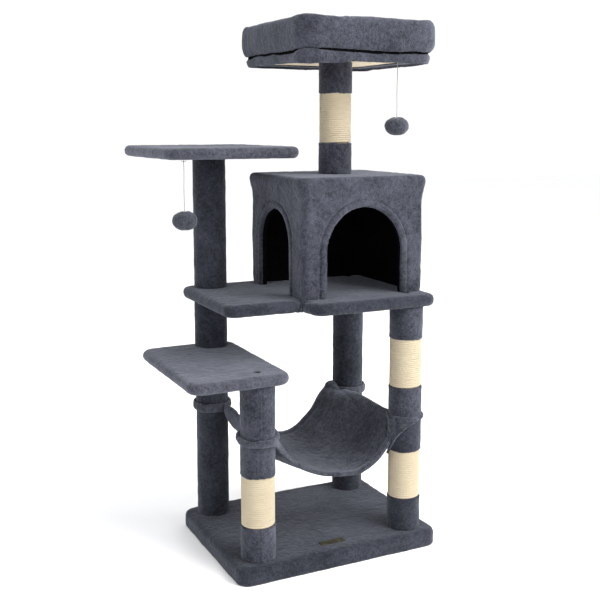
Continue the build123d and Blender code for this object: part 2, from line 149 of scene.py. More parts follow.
# ---- materials -----------------------------------------------------------------------

class Paint:
    """A node material with a Principled shader, and short names for the usual nodes."""

    def __init__(self, name, **sockets):
        self.material = bpy.data.materials.new(name)
        self.material.use_nodes = True
        self.tree = self.material.node_tree
        self.shader = self.tree.nodes["Principled BSDF"]
        self.where = self.node("ShaderNodeTexCoord").outputs["Object"]
        for socket, value in sockets.items():
            self.shader.inputs[socket.replace("_", " ")].default_value = value

    def node(self, kind, **values):
        made = self.tree.nodes.new(kind)
        for name, value in values.items():
            setattr(made, name, value)
        return made

    def join(self, socket, value):
        """Sets an input to a number or a colour, or links an output to it."""
        if isinstance(value, bpy.types.NodeSocket):
            self.tree.links.new(value, socket)
        else:
            socket.default_value = value

    def feed(self, made, **sockets):
        for name, value in sockets.items():
            self.join(made.inputs[name], value)

    def noise(self, scale, detail=2.0, rough=0.5, where=None):
        made = self.node("ShaderNodeTexNoise")
        self.feed(made, Scale=scale, Detail=detail, Roughness=rough, Vector=where or self.where)
        return made.outputs["Fac"]

    def wave(self, scale, distortion, where=None):
        """Slanting bands."""
        made = self.node("ShaderNodeTexWave", wave_type="BANDS", bands_direction="DIAGONAL")
        self.feed(made, Scale=scale, Distortion=distortion, Vector=where or self.where)
        return made.outputs["Fac"]

    def stretched(self, scale, where=None):
        """The place, scaled differently along each axis."""
        made = self.node("ShaderNodeMapping")
        self.feed(made, Scale=scale, Vector=where or self.where)
        return made.outputs["Vector"]

    def ramp(self, value, *stops):
        """A colour for each value, from stops of a place with a colour or a grey."""
        made = self.node("ShaderNodeValToRGB")
        elements = made.color_ramp.elements
        while len(elements) < len(stops):
            elements.new(0.5)
        for element, (place, colour) in zip(elements, stops):
            element.position = place
            element.color = (*colour, 1) if isinstance(colour, tuple) else (colour,) * 3 + (1,)
        self.feed(made, Fac=value)
        return made.outputs["Color"]

    def math(self, kind, a, b):
        made = self.node("ShaderNodeMath", operation=kind)
        for socket, value in zip(made.inputs, (a, b)):
            self.join(socket, value)
        return made.outputs[0]

    def total(self, *terms):
        """The sum of pairs of a value and its weight."""
        result = self.math("MULTIPLY", *terms[0])
        for term in terms[1:]:
            result = self.math("ADD", result, self.math("MULTIPLY", *term))
        return result

    def times(self, a, b):
        made = self.node("ShaderNodeMix", data_type="RGBA", blend_type="MULTIPLY")
        self.feed(made, Factor=1.0, A=a, B=b)
        return made.outputs["Result"]

    def bump(self, height, depth, below=None, strength=1.0):
        made = self.node("ShaderNodeBump")
        self.feed(made, Distance=depth, Strength=strength, Height=height)
        if below is not None:
            self.feed(made, Normal=below)
        return made.outputs["Normal"]

    def finish(self, colour, rough, normal):
        """Roughness comes as a value, its weight and the least roughness."""
        value, weight, least = rough
        rough = self.math("ADD", self.math("MULTIPLY", value, weight), least)
        self.feed(self.shader, **{"Base Color": colour, "Roughness": rough, "Normal": normal})
        return self.material


def plush_paint(name, dark, light, speckle=1.0, sheen=0.26, gloss=0.12):
    """Short dense pile: brushed patches, tufts and a soft sheen."""
    paint = Paint(name, Sheen_Weight=sheen, Sheen_Roughness=0.5,
                  Sheen_Tint=(0.66, 0.70, 0.82, 1), Specular_IOR_Level=gloss)
    brushed = paint.noise(11.0, 3.0, 0.6)
    tufts = paint.noise(95.0, 4.0, 0.62)
    pile = paint.noise(290.0, 3.0, 0.72)
    amount = paint.total((paint.ramp(brushed, (0.3, 0.0), (0.72, 1.0)), 0.38),
                         (paint.ramp(tufts, (0.34, 0.0), (0.7, 1.0)), 0.33 * speckle),
                         (paint.ramp(pile, (0.36, 0.0), (0.64, 1.0)), 0.34 * speckle))
    colour = paint.ramp(amount, (0.25, dark), (0.80, light))
    normal = paint.bump(brushed, 5 * mm, None, 0.6)
    normal = paint.bump(tufts, 2.6 * mm, normal, 0.9)
    normal = paint.bump(pile, 1.5 * mm, normal, 0.9)
    return paint.finish(colour, (tufts, 0.15, 0.82), normal)


def rope_paint():
    """Natural sisal: twisted strands and pale fibres, with painted shade in the gaps between turns.
    The mesh carries how far along the rope and how far round it each point is."""
    paint = Paint("sisal", Specular_IOR_Level=0.2, Sheen_Weight=0.15, Sheen_Roughness=0.6)
    along = paint.node("ShaderNodeAttribute", attribute_name="along_and_round").outputs["Vector"]
    strands = paint.wave(1.0, 1.6, along)
    fibres = paint.noise(7.0, 4.0, 0.7, along)
    stains = paint.noise(16.0, 3.0, 0.6)
    split = paint.node("ShaderNodeSeparateXYZ")
    paint.feed(split, Vector=along)
    # Painted shade: the rope is made duller where its section turns away into the gaps between
    # turns.
    crest = paint.math("MULTIPLY", split.outputs["Z"], 0.333)
    streaks = paint.noise(1.0, 3.0, 0.65, paint.stretched((0.16, 0.7, 0.7), along))
    amount = paint.total((fibres, 0.55), (stains, 0.3), (strands, 0.16))
    amount = paint.total((amount, 0.62), (streaks, 0.40))
    colour = paint.ramp(amount, (0.28, (0.49, 0.39, 0.25)), (0.46, (0.66, 0.56, 0.39)),
                        (0.75, (0.74, 0.655, 0.49)))
    # Streaks break up that painted shade in places.
    gap_shade_breaks = paint.ramp(streaks, (0.40, 0.0), (0.62, 0.5))
    crest = paint.math("ADD", crest, gap_shade_breaks)
    # The multiplier that paints the shade in the gaps.
    groove = paint.ramp(crest, (0.25, (0.62, 0.60, 0.56)), (0.7, 1.0))
    normal = paint.bump(strands, 0.9 * mm, None, 0.9)
    normal = paint.bump(fibres, 0.5 * mm, normal, 0.9)
    return paint.finish(paint.times(colour, groove), (fibres, 0.2, 0.72), normal)


def board_paint():
    """Bare fibreboard, with flecks and a faint grain."""
    paint = Paint("fibreboard", Specular_IOR_Level=0.3)
    flecks = paint.noise(260.0, 4.0, 0.7)
    clouds = paint.noise(9.0, 3.0, 0.5)
    amount = paint.total((flecks, 0.5), (clouds, 0.5))
    colour = paint.ramp(amount, (0.35, (0.52, 0.42, 0.29)), (0.65, (0.72, 0.62, 0.46)))
    return paint.finish(colour, (flecks, 0.2, 0.6), paint.bump(flecks, 0.3 * mm))


def cardboard_paint():
    """Brown spiral-wound tube, inside the sleeves."""
    paint = Paint("cardboard", Specular_IOR_Level=0.2)
    fibres = paint.noise(180.0, 3.0, 0.6, paint.stretched((1.0, 1.0, 0.3)))
    colour = paint.ramp(fibres, (0.3, (0.33, 0.23, 0.14)), (0.7, (0.48, 0.36, 0.23)))
    return paint.finish(colour, (fibres, 0.2, 0.7), paint.bump(fibres, 0.2 * mm))


def metal_paint(name, dark, light, least_rough):
    """Plated or bronzed metal with fine scratches and dull patches."""
    paint = Paint(name, Metallic=1.0)
    scratches = paint.noise(300.0, 3.0, 0.6, paint.stretched((1.0, 9.0, 9.0)))
    colour = paint.ramp(paint.noise(60.0), (0.35, dark), (0.65, light))
    return paint.finish(colour, (scratches, 0.25, least_rough), paint.bump(scratches, 0.06 * mm))


def cord_paint():
    """Thin twisted cord, off-white and a little grubby."""
    paint = Paint("white_cord", Specular_IOR_Level=0.25, Sheen_Weight=0.2)
    twist = paint.wave(260.0, 0.6)
    colour = paint.ramp(twist, (0.1, (0.20, 0.19, 0.18)), (0.8, (0.34, 0.33, 0.31)))
    return paint.finish(colour, (twist, 0.15, 0.65), paint.bump(twist, 0.3 * mm))


plush = plush_paint("plush", (0.009, 0.0102, 0.0155), (0.050, 0.052, 0.070))
# A dimmer copy of the plush: painted shade for covers and posts that stand in shade.
plush_deep = plush_paint("plush_deep", (0.0055, 0.0068, 0.0105), (0.031, 0.033, 0.046), sheen=0.22)
# A lighter copy of the plush: painted light for the step and perch tops, which catch the key light.
plush_pale = plush_paint("plush_pale", (0.013, 0.0145, 0.0205), (0.066, 0.068, 0.088), sheen=0.30)
# Near-black plush with sheen and gloss off: painted shade for the condo's inside, the door jambs
# and the bed's creases.
plush_dark_shade_paint = plush_paint("plush_lining", (0.0010, 0.0010, 0.0013), (0.0040, 0.0040, 0.0052),
                           sheen=0.0, gloss=0.02)
plush_ball = plush_paint("plush_ball", (0.011, 0.0125, 0.018), (0.048, 0.050, 0.064), 1.2)
plush_hammock = plush_paint("plush_hammock", (0.011, 0.0125, 0.0180), (0.060, 0.063, 0.081))
sisal = rope_paint()
fibreboard = board_paint()
cardboard = cardboard_paint()
zinc = metal_paint("zinc", (0.42, 0.42, 0.43), (0.62, 0.62, 0.64), 0.28)
bronze = metal_paint("bronze", (0.050, 0.047, 0.027), (0.100, 0.092, 0.052), 0.45)
cord_white = cord_paint()
blackened = metal_paint("blackened", (0.035, 0.035, 0.038), (0.075, 0.075, 0.080), 0.5)


def paint_cad_nodes():
    """The CAD pieces that stay on show get the finish of their slot."""
    finishes = {"board": fibreboard, "cardboard": cardboard, "steel": zinc, "plate": bronze,
                "cord": cord_white, "plush": plush, "sisal": sisal}
    for part in frame["record"]["subparts"]:
        node = nodes[part["node"]]
        node.data.materials.clear()
        node.data.materials.append(finishes[part["material_slot"]])
    nodes["platform_bolts"].data.materials[0] = blackened


# ---- number helpers ------------------------------------------------------------------

def lattice(ix, iy, iz, seed):
    """A fixed random value from -1 to 1 at each whole-number place."""
    n = (ix * 374761393 + iy * 668265263 + iz * 2147483629 + seed * 974634777) & 0xFFFFFFFF
    n = ((n ^ (n >> 13)) * 1274126177) & 0xFFFFFFFF
    n = ((n ^ (n >> 16)) * 2246822519) & 0xFFFFFFFF
    return (n ^ (n >> 15)) / 0x7FFFFFFF - 1.0


def lumps(points, size, seed):
    """Smooth random waves from about -1 to 1, with lumps of the given size."""
    place = np.asarray(points, float) / size
    corner = np.floor(place).astype(np.int64)
    part = place - corner
    part = part * part * (3 - 2 * part)
    total = np.zeros(len(place))
    for step in np.ndindex(2, 2, 2):
        weight = np.ones(len(place))
        for axis in range(3):
            weight *= part[:, axis] if step[axis] else 1 - part[:, axis]
        total += weight * lattice(*(corner[:, axis] + step[axis] for axis in range(3)), seed)
    return total


def pile(co, seed, coarse=18 * mm, fine=7 * mm, step=1):
    """How far the pile stands up: soft lumps with smaller ones on them."""
    return lumps(co, coarse, seed) + 0.6 * lumps(co, fine, seed + step)


def hump(distance, width):
    """A smooth rise to 1 where the distance is nought."""
    return np.exp(-(distance / width) ** 2)


def clip01(value):
    return np.clip(value, 0, 1)


def boxy(wave, power):
    """A sine or cosine made fuller, so that the section it draws is squarer."""
    return np.sign(wave) * np.abs(wave) ** power


def smoothed(values, reach, **ends):
    """Each value averaged with its neighbours, as far as reach on both sides."""
    kernel = np.hanning(2 * reach + 1)
    ends = ends or {"mode": "reflect", "reflect_type": "odd"}
    return np.convolve(np.pad(values, reach, **ends), kernel / kernel.sum(), "valid")


def around(count):
    return np.linspace(0, 2 * math.pi, count, endpoint=False)


def level_way(angle):
    """Level unit directions."""
    return np.stack([np.cos(angle), np.sin(angle), 0 * angle], 1)


def on_line(values):
    """Lengths as places along one axis, for lumps that follow a line."""
    return np.stack([values, 0 * values, 0 * values], 1)


def turned(centre, angle, radius, height):
    """Points at a radius and a height round an upright axis."""
    return np.stack([centre.x + radius * np.cos(angle), centre.y + radius * np.sin(angle),
                     height], 2).reshape(-1, 3)


def lengths_along(line):
    ahead = np.linalg.norm(np.diff(line, axis=0), axis=1)
    return np.concatenate([[0], np.cumsum(ahead)])


def even_line(line, spacing):
    """The same line with evenly spaced points."""
    line = np.asarray(line, float)
    reach = lengths_along(line)
    steps = np.linspace(0, reach[-1], max(3, int(reach[-1] / spacing)))
    return np.stack([np.interp(steps, reach, line[:, axis]) for axis in range(line.shape[1])], 1)


def middle_of(node):
    low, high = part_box(node)
    return (low + high) / 2


def past_sides(co, low, high):
    """How far points stand outside a box on plan. Inside it, that is less than nought."""
    return np.maximum(np.maximum(low.x - co[:, 0], co[:, 0] - high.x),
                      np.maximum(low.y - co[:, 1], co[:, 1] - high.y))


# ---- mesh helpers --------------------------------------------------------------------

def ring_faces(rows, columns, close_rows=False):
    """Quads of a grid whose columns run all the way round."""
    last = rows if close_rows else rows - 1
    return [(r * columns + c, r * columns + (c + 1) % columns,
             (r + 1) % rows * columns + (c + 1) % columns, (r + 1) % rows * columns + c)
            for r in range(last) for c in range(columns)]


def tube_faces(rings, columns, flip=False):
    """Quads round a tube, and its two ends."""
    faces = ring_faces(rings, columns)
    faces.append(tuple(range(columns - 1, -1, -1)))
    faces.append(tuple((rings - 1) * columns + i for i in range(columns)))
    return [f[::-1] for f in faces] if flip else faces


def piece(name, verts, faces, material, body="stand", slot="plush"):
    """A smooth-shaded mesh piece that rides on a body."""
    mesh = mesh_of(name, verts, faces)
    mesh.materials.append(material)
    mesh.shade_smooth()
    made = add_object(name, mesh)
    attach(made, body)
    return made


def point_values(made, kind):
    values = np.empty(len(made.data.vertices) * 3)
    made.data.vertices.foreach_get(kind, values)
    return values.reshape(-1, 3)


def positions(made):
    return point_values(made, "co")


def normals(made):
    return point_values(made, "normal")


def put(made, co):
    made.data.vertices.foreach_set("co", np.ascontiguousarray(co).ravel())
    made.data.update()


def nap(made, depth, lump, seed):
    """Pile that stands a little unevenly, along the normals."""
    co = positions(made)
    amount = pile(co, seed, lump, lump * 0.4, 7)
    put(made, co + normals(made) * (depth * amount)[:, None])


def paint_dark_shade(made, chosen):
    """Faces whose points are mostly chosen get the near-black plush: painted shade."""
    while len(made.data.materials) < 2:
        made.data.materials.append(plush_dark_shade_paint)
    dark = [np.mean(chosen[list(p.vertices)]) > 0.6 for p in made.data.polygons]
    made.data.polygons.foreach_set("material_index", np.array(dark, np.int32))


def settle(made, *modifiers):
    """Applies modifiers, each a kind and its settings, to the piece's mesh."""
    for kind, settings in modifiers:
        modifier = made.modifiers.new(kind.lower(), kind)
        for key, value in settings.items():
            setattr(modifier, key, value)
    bpy.context.view_layer.update()
    graph = bpy.context.evaluated_depsgraph_get()
    mesh = bpy.data.meshes.new_from_object(made.evaluated_get(graph))
    old = made.data
    made.modifiers.clear()
    made.data = mesh
    mesh.name = old.name
    bpy.data.meshes.remove(old)
    made.data.shade_smooth()


def remeshed(made, voxel, smooth):
    settle(made, ("REMESH", {"mode": "VOXEL", "voxel_size": voxel, "use_smooth_shade": True}),
           ("SMOOTH", {"factor": 0.6, "iterations": smooth}))


def subdivided(made):
    settle(made, ("SUBSURF", {"levels": 1, "render_levels": 1}))


# ---- sleeves and rope on the posts ---------------------------------------------------

def sleeve(name, centre, low, high, outer, inner, seam_angle, seed, material, ragged=0.0):
    """A plush tube, closed all round, with tucked ends and one sewn seam up its side."""
    columns, row_height, tuck = 132, 3.2 * mm, 3.0 * mm
    angles = around(columns)
    side = np.linspace(low + tuck, high - tuck, max(8, int((high - low) / row_height)))
    fold = np.linspace(0, math.pi / 2, 4)
    edge = outer - tuck
    profile = [(outer, z) for z in side]
    profile += [(edge + tuck * math.cos(a), high - tuck + tuck * math.sin(a)) for a in fold[1:]]
    profile += [(inner, high), (inner, (low + high) / 2), (inner, low)]
    profile += [(edge + tuck * math.sin(a), low + tuck - tuck * math.cos(a)) for a in fold[:-1]]
    radius, height = (np.array(row)[:, None] * np.ones(columns) for row in zip(*profile))
    co = turned(centre, angles, radius, height)
    skin = (radius > inner + mm).reshape(-1)
    swell = nap_depth * pile(co, seed, 20 * mm, 8 * mm, 3)
    off_seam = np.tile(angles, len(profile)) - seam_angle
    across = np.abs((off_seam + math.pi) % (2 * math.pi) - math.pi) * outer
    stitch = 1 + 0.35 * np.sin(co[:, 2] / (5 * mm) * 2 * math.pi)
    swell -= 1.5 * mm * hump(across, 1.3 * mm) * stitch
    swell += 0.5 * mm * hump(across - 4.5 * mm, 2.5 * mm)
    near_end = np.minimum(co[:, 2] - low, high - co[:, 2])
    swell += 0.5 * mm * hump(near_end, 6 * mm)
    wander = 0.9 * mm * lumps(co * [1, 1, 0], 18 * mm, seed + 11)
    wander += (0.6 * mm + 0.35 * ragged) * lumps(co * [1, 1, 0], 5 * mm, seed + 12)
    co = co + np.tile(level_way(angles), (len(profile), 1)) * (swell * skin)[:, None]
    co[:, 2] += np.where(skin, wander * np.exp(-near_end / (10 * mm)), 0)
    co[:, 2] = np.clip(co[:, 2], low - ragged, high + ragged)
    return piece(name, co, ring_faces(len(profile), columns, True), material)


def rope(name, centre, low, high, outer):
    """One rope, wound turn on turn. Each point also keeps its place along and round it."""
    thick = rope_thickness / 2
    turns = (high - low - rope_thickness) / rope_pitch
    per_turn, section = 96, 10
    count = int(turns * per_turn)
    turn = np.linspace(0, turns, count)
    angle = turn * 2 * math.pi
    rise = low + thick + turn * rope_pitch
    wobble = np.stack([np.cos(angle) * 40, np.sin(angle) * 40, rise * 1000], 1)
    wander = 0.22 * mm * lumps(wobble, 14, 5)[:, None]
    fat = 1 + 0.05 * lumps(wobble, 9, 8)[:, None]
    round_angle = around(section)
    radius = outer - thick + thick * fat * boxy(np.cos(round_angle), 0.6) + wander
    height = rise[:, None] + 1.04 * thick * fat * np.sin(round_angle) + wander
    co = turned(centre, angle[:, None], radius, height)
    made = piece(name, co, tube_faces(count, section), sisal, slot="sisal")
    along = np.zeros((count, section, 3))
    along[:, :, 0] = (turn * 2 * math.pi * outer / rope_thickness)[:, None]
    along[:, :, 1] = 3 * np.sin(round_angle)
    # How far the point faces outward: the material paints shade where this is low, in the gaps
    # between turns.
    along[:, :, 2] = 3 * np.cos(round_angle)
    marks = made.data.attributes.new("along_and_round", "FLOAT_VECTOR", "POINT")
    marks.data.foreach_set("vector", along.ravel())
    return made


def dress_posts():
    """Sleeves on every post, and rope on those that carry it. The seams face away from
    the front, but for the front left post, where they show."""
    shown_seams = {"front_left_lower": -1.88, "front_left_upper": -1.70}
    # Posts that stand in shade get the dimmer copy of the plush: painted shade.
    painted_shade_posts = ("rear_left", "rear_right", "front_right_lower")
    clear_of_tube, under_rope, frayed = 0.3 * mm, 1.5 * mm, 2.4 * mm
    for seed, node in enumerate(sorted(n for n in nodes if n.endswith("_sleeve"))):
        post = node[:-len("_sleeve")]
        low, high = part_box(node)
        centre = middle_of(post + "_tube")
        inner = (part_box(post + "_tube")[1].x - centre.x) + clear_of_tube
        seam = shown_seams.get(post, 1.1 + 0.2 * seed)
        material = plush_deep if post.startswith(painted_shade_posts) else plush

        def part(name, bottom, top, number, ragged=0.0):
            return sleeve(post + name, centre, bottom, top, high.x - centre.x, inner, seam,
                          number, material, ragged)

        rope_node = post + "_rope"
        if rope_node in nodes:
            rope_low, rope_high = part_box(rope_node)
            made = part("_lower_plush", low.z, rope_low.z + under_rope, seed, frayed)
            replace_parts(made, node)
            part("_upper_plush", rope_high.z - under_rope, high.z, seed + 40, frayed)
            wound = rope(post + "_winding", centre, rope_low.z, rope_high.z, rope_high.x - centre.x)
            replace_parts(wound, rope_node)
        else:
            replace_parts(part("_plush", low.z, high.z, seed), node)


# ---- plush-covered boards ------------------------------------------------------------

def rounded_outline(corners, radii, spacing=4 * mm):
    """Points round a polygon whose corners are rounded, anticlockwise, evenly spaced."""
    path = []
    for i, radius in enumerate(radii):
        corner = np.array(corners[i], float)
        back = np.array(corners[i - 1], float) - corner
        ahead = np.array(corners[(i + 1) % len(corners)], float) - corner
        back /= np.linalg.norm(back)
        ahead /= np.linalg.norm(ahead)
        centre = corner + (back + ahead) * radius
        for t in np.linspace(0, math.pi / 2, 10):
            path.append(centre - ahead * radius * math.cos(t) - back * radius * math.sin(t))
    path = np.array(path + path[:1])
    reach = lengths_along(path)
    keep = np.concatenate([[True], np.diff(reach) > 1e-9])
    steps = np.linspace(0, reach[-1], int(reach[-1] / spacing), endpoint=False)
    return np.stack([np.interp(steps, reach[keep], path[keep, axis]) for axis in (0, 1)], 1)


def rectangle(low, high, radius, spacing=4 * mm):
    corners = [(low[0], low[1]), (high[0], low[1]), (high[0], high[1]), (low[0], high[1])]
    return rounded_outline(corners, [radius] * 4, spacing)


def stacked(outline, levels):
    """The outline's points at each level of (inset, height), ring after ring."""
    along = np.roll(outline, -1, 0) - np.roll(outline, 1, 0)
    along /= np.linalg.norm(along, axis=1)[:, None]
    outward = np.stack([along[:, 1], -along[:, 0]], 1)
    return np.concatenate([np.column_stack([outline - outward * inset,
                                            np.full(len(outline), height)])
                           for inset, height in levels])


def loft(outline, levels):
    """Points and faces of a closed solid with flat ends."""
    return stacked(outline, levels), tube_faces(len(levels), len(outline))


def soft_edges(low, high, edge, top_edge=None):
    """Levels of a slab whose bottom and top edges are rounded."""
    top = top_edge or edge
    turn = np.linspace(0, math.pi / 2, 7)
    levels = [(edge * (1 - math.sin(t)), low + edge * (1 - math.cos(t))) for t in turn]
    return levels + [(top * (1 - math.cos(t)), high - top * (1 - math.sin(t))) for t in turn]


def plush_slab(node, outline, edge, material, seed, bolted_to=(), top_edge=None):
    """A board's plush cover: soft rolled edges, wandering fabric and a dimple at each bolt."""
    low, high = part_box(node)
    verts, faces = loft(outline, soft_edges(low.z, high.z, edge, top_edge))
    made = piece(node.replace("_cover", "_plush"), verts, faces, material)
    remeshed(made, board_voxel, 3)
    co, out = positions(made), normals(made)
    slack = 1.1 * mm * lumps(co, 55 * mm, seed) * (1 - 0.6 * np.abs(out[:, 2]))
    co = co + out * (slack + nap_depth * pile(co, seed + 1))[:, None]
    hole_radius, hole_depth = 8.5 * mm, 8.6 * mm
    for post in bolted_to:
        bolt = middle_of(post)
        away = np.hypot(co[:, 0] - bolt.x, co[:, 1] - bolt.y)
        sag = hole_depth * clip01((hole_radius - away) / (3.0 * mm)) + mm * hump(away, 16 * mm)
        co[:, 2] -= np.where(co[:, 2] > (low.z + high.z) / 2, sag, 0)
    co[:, 2] = np.maximum(co[:, 2], low.z if low.z > mm else 0)
    put(made, co)
    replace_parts(made, node)
    return made


def press_flat(made, node):
    """The pile lies flat under a plate."""
    low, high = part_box(node)
    co = positions(made)
    flat = clip01(1 - past_sides(co, low, high) / (5 * mm)) * (co[:, 2] > low.z - 6 * mm)
    co[:, 2] = co[:, 2] * (1 - flat) + (low.z - 0.1 * mm) * flat
    put(made, co)


def notch_pucker(made, notch):
    """The cover is pulled into folds where the middle platform steps back."""
    co, out = positions(made), normals(made)
    dx, dy = co[:, 0] - notch[0], co[:, 1] - notch[1]
    away = np.hypot(dx, dy)
    folds = np.sin(np.arctan2(dy, dx) * 7 + 1.3 * lumps(co, 12 * mm, 31))
    move = 2.2 * mm * folds * hump(away, 26 * mm) - 2.5 * mm * hump(away, 9 * mm)
    put(made, co + out * move[:, None])


def square_board(node, post, seed):
    outline = rectangle(*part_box(node), 36 * mm)
    # The step and perch covers take the lighter plush copy: painted light on tops that catch the
    # key light.
    plush_slab(node, outline, 13 * mm, plush_pale, seed, [post])


def dress_boards():
    outline = rectangle(*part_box("base_cover"), 30 * mm)
    # The base cover takes the dimmer plush copy: painted shade on a top that lies under everything
    # above it.
    base = plush_slab("base_cover", outline, 3 * mm, plush_deep, 3, top_edge=15 * mm)
    press_flat(base, "name_plate")

    square_board("step_cover", "front_left_upper_tube", 13)

    low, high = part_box("middle_cover")
    recess = (-77 * mm, -131.5 * mm)
    corners = [(low.x, recess[1]), recess, (recess[0], low.y), (high.x, low.y),
               (high.x, high.y), (low.x, high.y)]
    outline = rounded_outline(corners, [30 * mm, 12 * mm, 30 * mm, 30 * mm, 30 * mm, 30 * mm])
    # The middle cover also takes the dimmer plush copy: painted shade.
    made = plush_slab("middle_cover", outline, 14 * mm, plush_deep, 23,
                      ["front_right_upper_tube", "rear_right_upper_tube"])
    notch_pucker(made, recess)

    square_board("perch_cover", "rear_left_top_tube", 33)


# ---- condo ---------------------------------------------------------------------------

def arch(door, floor_level, grow, below, count=40):
    """The doorway's outline in its own plane, from the foot of one jamb to the other."""
    spring = floor_level + door["spring"]
    half, rise = door["half"] + grow, door["rise"] + grow
    left = [(door["middle"] - half, z) for z in np.linspace(floor_level - below, spring, 12)]
    head = [(door["middle"] - half * math.cos(t), spring + rise * math.sin(t))
            for t in np.linspace(0, math.pi, count)[1:-1]]
    right = [(door["middle"] + half, z) for z in np.linspace(spring, floor_level - below, 12)]
    return np.array(left + head + right)


def door_cutter(name, outline, near, far, first, depth):
    """A closed prism through a wall."""
    count = len(outline)
    verts = np.zeros((2, count, 3))
    verts[:, :, first], verts[:, :, 2] = outline[:, 0], outline[:, 1]
    verts[0, :, depth], verts[1, :, depth] = near, far
    mesh = mesh_of(name, verts.reshape(-1, 3), tube_faces(2, count))
    shape = bmesh.new()
    shape.from_mesh(mesh)
    bmesh.ops.recalc_face_normals(shape, faces=shape.faces)
    shape.to_mesh(mesh)
    shape.free()
    return add_object(name, mesh)


def condo_levels(low, high):
    """The outside's levels: upright walls, pinched in under the wider roof."""
    roof_edge, sunk = 12 * mm, 5 * mm
    levels = [(overhang, low.z - sunk), (overhang, low.z + 60 * mm),
              (overhang - 1.5 * mm, low.z + 130 * mm), (overhang, low.z + 190 * mm),
              (overhang + 0.6 * mm, high.z - 76 * mm), (overhang, high.z - 62 * mm),
              (overhang - 1.8 * mm, high.z - 48 * mm), (3.0 * mm, high.z - 34 * mm),
              (0.6 * mm, high.z - 24 * mm), (-0.6 * mm, high.z - 16 * mm)]
    return levels + [(roof_edge * (1 - math.cos(t)), high.z - roof_edge * (1 - math.sin(t)))
                     for t in np.linspace(0, math.pi / 2, 7)]


def hollow(made, inner_low, inner_high, ceiling):
    """Cuts the cabin and its two doorways out of the condo."""
    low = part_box("condo_cover")[0]
    below, jamb_cover = 20 * mm, -2 * mm
    past_outside, past_inside = 20 * mm, 30 * mm
    cabin = loft(rectangle(inner_low, inner_high, 12 * mm),
                 [(0, low.z - below), (0, ceiling - 10 * mm), (3 * mm, ceiling - 5 * mm),
                  (8 * mm, ceiling - lining)])
    cutters = [add_object("cabin", mesh_of("cabin", *cabin))]
    cutters += [door_cutter(name + "_cut", arch(door, low.z, jamb_cover, below),
                            low[depth] - past_outside, inner_low[depth] + past_inside, first, depth)
                for name, door, first, depth in doors]
    for cutter in cutters:
        settle(made, ("BOOLEAN", {"operation": "DIFFERENCE", "object": cutter, "solver": "EXACT"}))
    for cutter in cutters:
        bpy.data.objects.remove(cutter)


def condo_shell():
    """The plush outside of the condo and its inside, painted near-black as shade, as one skin with
    two doorways.
    """
    low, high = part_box("condo_cover")
    in_low, in_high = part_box("condo_lining")
    inner_low = (in_low.x + lining, in_low.y + lining)
    inner_high = (in_high.x - lining, in_high.y - lining)
    corners = [(low.x, low.y), (high.x, low.y), (high.x, high.y), (low.x, high.y)]
    outline = rounded_outline(corners, [30 * mm, 20 * mm, 20 * mm, 20 * mm])
    made = piece("condo_plush", *loft(outline, condo_levels(low, high)), plush)
    hollow(made, inner_low, inner_high, in_high.z)
    remeshed(made, condo_voxel, 3)

    co, out = positions(made), normals(made)
    margin = 2.2 * mm
    inside = np.all([co[:, 0] > inner_low[0] - margin, co[:, 0] < inner_high[0] + margin,
                     co[:, 1] > inner_low[1] - margin, co[:, 1] < inner_high[1] + margin,
                     co[:, 2] < in_high.z - lining + margin], 0)
    slack = 0.7 * mm * lumps(co, 70 * mm, 51)
    fabric = nap_depth * pile(co, 52)
    move = np.where(inside, 0.25 * fabric, np.maximum(slack + fabric, -0.4 * mm))
    upright = np.abs(out[:, 2]) < 0.7
    under_roof = hump(co[:, 2] - (high.z - 40 * mm), 14 * mm) * upright
    turn_round = np.arctan2(co[:, 1] - (low.y + high.y) / 2, co[:, 0] - (low.x + high.x) / 2)
    drape = 0.8 * mm * lumps(on_line(turn_round * 160 * mm), 26 * mm, 55)
    move += np.where(inside, 0, np.maximum(drape * under_roof, -0.6 * mm))
    on_corner = clip01(np.abs(out[:, 0] * out[:, 1]) * 2)
    move += np.where(inside, 0, 1.8 * mm * on_corner)
    co = co + out * (move * clip01((co[:, 2] - low.z) / (12 * mm)))[:, None]
    for _, door, first, depth in doors:
        # the wall dips along the outer edge of the roll
        line = arch(door, low.z, roll_centre + roll_reach + 1.2 * mm, 0, 80)
        spots = np.where(np.abs(co[:, depth] - (low[depth] + overhang)) < 6 * mm)[0]
        gap = np.min(np.hypot(co[spots, first][:, None] - line[:, 0],
                              co[spots, 2][:, None] - line[:, 1]), 1)
        co[spots, depth] += 3.2 * mm * hump(gap, 2.6 * mm)
    # Painted shade: the jamb faces deeper than jamb_depth are chosen for the near-black plush.
    jamb_depth, beside_door = 5 * mm, 6 * mm
    jamb_shade = np.zeros(len(co), bool)
    for _, door, first, depth in doors:
        deep = co[:, depth] > low[depth] + overhang + jamb_depth
        deep &= co[:, depth] < inner_low[depth] + margin
        beside = np.abs(co[:, first] - door["middle"]) < door["half"] + beside_door
        jamb_shade |= deep & beside & (co[:, 2] < low.z + door["spring"] + door["rise"] + beside_door)
    put(made, co)
    # The cabin's inside and the deep jambs are painted near-black as shade.
    paint_dark_shade(made, inside | jamb_shade)
    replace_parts(made, "condo_cover", "condo_lining")


